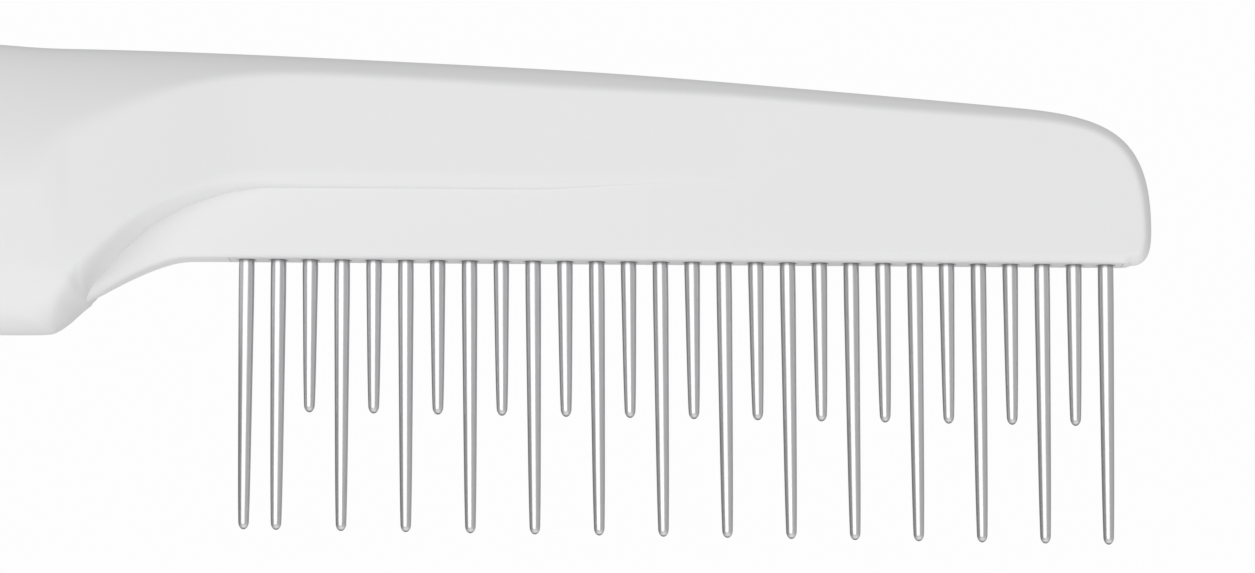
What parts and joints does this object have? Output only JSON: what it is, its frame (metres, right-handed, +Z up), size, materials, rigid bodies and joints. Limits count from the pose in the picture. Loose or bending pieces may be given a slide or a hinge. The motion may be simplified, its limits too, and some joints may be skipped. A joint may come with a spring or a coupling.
{
  "type": "dematting comb",
  "caption": "Pet dematting comb: a hollow two-shell handle and head holding a row of long and short steel teeth that turn freely.",
  "frame": {"origin": "middle of the tooth row, on the flat underside of the tooth carrier, in the middle plane of the comb", "axes": "+X along the comb towards the nose of the head, +Y across its thickness, +Z up and away from the teeth"},
  "size_m": [0.225, 0.0212, 0.0546],
  "materials": {
    "shell": "satin light-grey moulded ABS with a very fine spark texture",
    "tooth_bar": "satin light-grey moulded plastic",
    "teeth": "bright drawn stainless-steel wire, ground taper and polished round tip"
  },
  "bodies": {
    "comb_body": {"front_shell": "shell", "rear_shell": "shell", "tooth_carrier": "tooth_bar", "tooth_keeper": "tooth_bar"},
    "tooth_01": {"tooth_01": "teeth"},
    "tooth_02": {"tooth_02": "teeth"},
    "tooth_03": {"tooth_03": "teeth"},
    "tooth_04": {"tooth_04": "teeth"},
    "tooth_05": {"tooth_05": "teeth"},
    "tooth_06": {"tooth_06": "teeth"},
    "tooth_07": {"tooth_07": "teeth"},
    "tooth_08": {"tooth_08": "teeth"},
    "tooth_09": {"tooth_09": "teeth"},
    "tooth_10": {"tooth_10": "teeth"},
    "tooth_11": {"tooth_11": "teeth"},
    "tooth_12": {"tooth_12": "teeth"},
    "tooth_13": {"tooth_13": "teeth"},
    "tooth_14": {"tooth_14": "teeth"},
    "tooth_15": {"tooth_15": "teeth"},
    "tooth_16": {"tooth_16": "teeth"},
    "tooth_17": {"tooth_17": "teeth"},
    "tooth_18": {"tooth_18": "teeth"},
    "tooth_19": {"tooth_19": "teeth"},
    "tooth_20": {"tooth_20": "teeth"},
    "tooth_21": {"tooth_21": "teeth"},
    "tooth_22": {"tooth_22": "teeth"},
    "tooth_23": {"tooth_23": "teeth"},
    "tooth_24": {"tooth_24": "teeth"},
    "tooth_25": {"tooth_25": "teeth"},
    "tooth_26": {"tooth_26": "teeth"},
    "tooth_27": {"tooth_27": "teeth"},
    "tooth_28": {"tooth_28": "teeth"}
  },
  "joints": [
    {"name": "tooth_01_spin", "type": "hinge", "parent": "comb_body", "child": "tooth_01", "pos_m": [-0.04725, 0, 0], "axis": [0.0047, 0, -1], "continuous": true},
    {"name": "tooth_02_spin", "type": "hinge", "parent": "comb_body", "child": "tooth_02", "pos_m": [-0.04375, 0, 0], "axis": [0.0065, 0, -1], "continuous": true},
    {"name": "tooth_03_spin", "type": "hinge", "parent": "comb_body", "child": "tooth_03", "pos_m": [-0.04025, 0, 0], "axis": [0.0082, 0, -1], "continuous": true},
    {"name": "tooth_04_spin", "type": "hinge", "parent": "comb_body", "child": "tooth_04", "pos_m": [-0.03675, 0, 0], "axis": [0.0097, 0, -1], "continuous": true},
    {"name": "tooth_05_spin", "type": "hinge", "parent": "comb_body", "child": "tooth_05", "pos_m": [-0.03325, 0, 0], "axis": [0.0111, 0, -0.9999], "continuous": true},
    {"name": "tooth_06_spin", "type": "hinge", "parent": "comb_body", "child": "tooth_06", "pos_m": [-0.02975, 0, 0], "axis": [0.0124, 0, -0.9999], "continuous": true},
    {"name": "tooth_07_spin", "type": "hinge", "parent": "comb_body", "child": "tooth_07", "pos_m": [-0.02625, 0, 0], "axis": [0.0135, 0, -0.9999], "continuous": true},
    {"name": "tooth_08_spin", "type": "hinge", "parent": "comb_body", "child": "tooth_08", "pos_m": [-0.02275, 0, 0], "axis": [0.0145, 0, -0.9999], "continuous": true},
    {"name": "tooth_09_spin", "type": "hinge", "parent": "comb_body", "child": "tooth_09", "pos_m": [-0.01925, 0, 0], "axis": [0.0153, 0, -0.9999], "continuous": true},
    {"name": "tooth_10_spin", "type": "hinge", "parent": "comb_body", "child": "tooth_10", "pos_m": [-0.01575, 0, 0], "axis": [0.016, 0, -0.9999], "continuous": true},
    {"name": "tooth_11_spin", "type": "hinge", "parent": "comb_body", "child": "tooth_11", "pos_m": [-0.01225, 0, 0], "axis": [0.0166, 0, -0.9999], "continuous": true},
    {"name": "tooth_12_spin", "type": "hinge", "parent": "comb_body", "child": "tooth_12", "pos_m": [-0.00875, 0, 0], "axis": [0.017, 0, -0.9999], "continuous": true},
    {"name": "tooth_13_spin", "type": "hinge", "parent": "comb_body", "child": "tooth_13", "pos_m": [-0.00525, 0, 0], "axis": [0.0173, 0, -0.9999], "continuous": true},
    {"name": "tooth_14_spin", "type": "hinge", "parent": "comb_body", "child": "tooth_14", "pos_m": [-0.00175, 0, 0], "axis": [0.0174, 0, -0.9998], "continuous": true},
    {"name": "tooth_15_spin", "type": "hinge", "parent": "comb_body", "child": "tooth_15", "pos_m": [0.00175, 0, 0], "axis": [0.0174, 0, -0.9998], "continuous": true},
    {"name": "tooth_16_spin", "type": "hinge", "parent": "comb_body", "child": "tooth_16", "pos_m": [0.00525, 0, 0], "axis": [0.0173, 0, -0.9999], "continuous": true},
    {"name": "tooth_17_spin", "type": "hinge", "parent": "comb_body", "child": "tooth_17", "pos_m": [0.00875, 0, 0], "axis": [0.017, 0, -0.9999], "continuous": true},
    {"name": "tooth_18_spin", "type": "hinge", "parent": "comb_body", "child": "tooth_18", "pos_m": [0.01225, 0, 0], "axis": [0.0166, 0, -0.9999], "continuous": true},
    {"name": "tooth_19_spin", "type": "hinge", "parent": "comb_body", "child": "tooth_19", "pos_m": [0.01575, 0, 0], "axis": [0.016, 0, -0.9999], "continuous": true},
    {"name": "tooth_20_spin", "type": "hinge", "parent": "comb_body", "child": "tooth_20", "pos_m": [0.01925, 0, 0], "axis": [0.0153, 0, -0.9999], "continuous": true},
    {"name": "tooth_21_spin", "type": "hinge", "parent": "comb_body", "child": "tooth_21", "pos_m": [0.02275, 0, 0], "axis": [0.0145, 0, -0.9999], "continuous": true},
    {"name": "tooth_22_spin", "type": "hinge", "parent": "comb_body", "child": "tooth_22", "pos_m": [0.02625, 0, 0], "axis": [0.0135, 0, -0.9999], "continuous": true},
    {"name": "tooth_23_spin", "type": "hinge", "parent": "comb_body", "child": "tooth_23", "pos_m": [0.02975, 0, 0], "axis": [0.0124, 0, -0.9999], "continuous": true},
    {"name": "tooth_24_spin", "type": "hinge", "parent": "comb_body", "child": "tooth_24", "pos_m": [0.03325, 0, 0], "axis": [0.0111, 0, -0.9999], "continuous": true},
    {"name": "tooth_25_spin", "type": "hinge", "parent": "comb_body", "child": "tooth_25", "pos_m": [0.03675, 0, 0], "axis": [0.0097, 0, -1], "continuous": true},
    {"name": "tooth_26_spin", "type": "hinge", "parent": "comb_body", "child": "tooth_26", "pos_m": [0.04025, 0, 0], "axis": [0.0082, 0, -1], "continuous": true},
    {"name": "tooth_27_spin", "type": "hinge", "parent": "comb_body", "child": "tooth_27", "pos_m": [0.04375, 0, 0], "axis": [0.0065, 0, -1], "continuous": true},
    {"name": "tooth_28_spin", "type": "hinge", "parent": "comb_body", "child": "tooth_28", "pos_m": [0.04725, 0, 0], "axis": [0.0047, 0, -1], "continuous": true}
  ]
}
